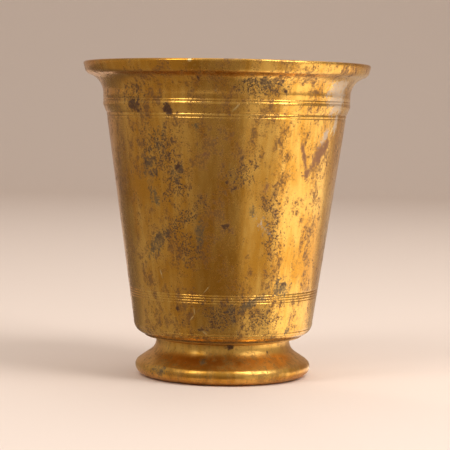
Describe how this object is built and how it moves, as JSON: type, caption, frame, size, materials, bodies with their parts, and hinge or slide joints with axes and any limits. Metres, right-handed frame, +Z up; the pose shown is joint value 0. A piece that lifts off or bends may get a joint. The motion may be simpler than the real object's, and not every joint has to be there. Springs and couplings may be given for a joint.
{
  "type": "brass ritual cup",
  "caption": "Tapered brass ritual beaker with a thick flared lip and engraved rings, brazed onto a hollow flared foot.",
  "frame": {"origin": "centre of the foot's rest face, on the surface the cup stands on", "axes": "+Z up along the cup's axis; the cup is turned, so X and Y are alike"},
  "size_m": [0.0814, 0.0814, 0.0888],
  "materials": {
    "aged_brass": "turned and worn, with brown patina, dark stains and fine scratches",
    "foot_brass": "turned and worn smooth, with light patina",
    "braze": "dull, dark and uneven filler metal"
  },
  "bodies": {
    "root": {"cup_body": "aged_brass", "foot": "foot_brass", "braze_seam": "braze"}
  },
  "joints": []
}
